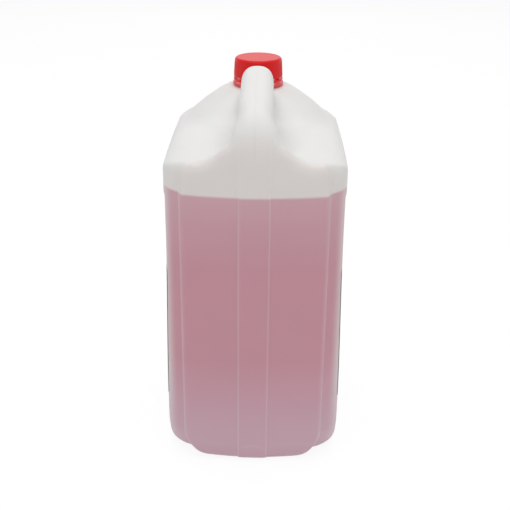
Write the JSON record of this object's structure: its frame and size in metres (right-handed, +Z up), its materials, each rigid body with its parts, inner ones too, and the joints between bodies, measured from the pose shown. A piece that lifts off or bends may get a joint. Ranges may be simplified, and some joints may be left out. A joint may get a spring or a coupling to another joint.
{
  "type": "wheel cleaner jug",
  "caption": "Translucent blow-moulded jug with a through-handle, screw cap, tamper ring, pink liquid inside and a plain label on each broad face.",
  "frame": {"origin": "on the floor, below the middle of the body's box", "axes": "+X across the broad faces to the right, +Y along the body from the handle end to the neck end, +Z up"},
  "size_m": [0.1412, 0.182, 0.2973],
  "materials": {
    "natural_plastic": "satin, translucent",
    "closure_plastic": "smooth, slightly glossy",
    "sealing_foam": "matt",
    "cleaning_liquid": "clear pink liquid",
    "label_stock": "matt"
  },
  "bodies": {
    "body": {"jug": "natural_plastic", "tamper_ring": "closure_plastic", "cleaner": "cleaning_liquid", "label_left": "label_stock", "label_right": "label_stock"},
    "liner": {"cap_wad": "sealing_foam"},
    "cap": {"cap": "closure_plastic"}
  },
  "joints": [
    {"name": "cap_lift", "type": "slide", "parent": "body", "child": "liner", "axis": [0, 0, 1], "range_m": [0, 0.0064]},
    {"name": "cap_turn", "type": "hinge", "parent": "liner", "child": "cap", "pos_m": [0, 0.0555, 0.28], "axis": [0, 0, 1], "range_deg": [0, 540]}
  ],
  "couplings": [
    {"joint": "cap_lift", "follows": "cap_turn", "m_per_rad": 0.00066845}
  ]
}
